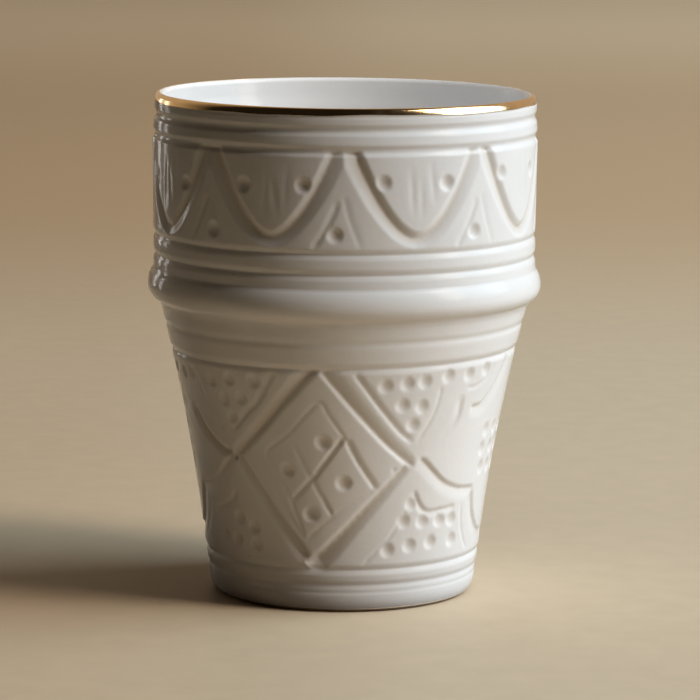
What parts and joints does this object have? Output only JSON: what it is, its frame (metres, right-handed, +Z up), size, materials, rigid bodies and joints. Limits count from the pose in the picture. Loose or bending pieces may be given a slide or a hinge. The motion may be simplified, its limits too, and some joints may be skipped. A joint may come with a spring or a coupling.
{
  "type": "ceramic cup",
  "caption": "Handleless glazed ceramic cup with turned rings, a bead at the waist, carved bands and a gold lustre lip.",
  "frame": {"origin": "centre of the foot ring, on the surface that the cup stands on", "axes": "+Z up along the cup's axis, -Y towards the front, which shows a carved lozenge"},
  "size_m": [0.083, 0.083, 0.1055],
  "materials": {
    "clay": "bare fired clay",
    "outer_glaze": "satin white glaze",
    "inner_glaze": "gloss white glaze",
    "gold": "polished gold lustre"
  },
  "bodies": {
    "root": {"clay_body": "clay", "outer_glaze": "outer_glaze", "inner_glaze": "inner_glaze", "gold_rim": "gold"}
  },
  "joints": []
}
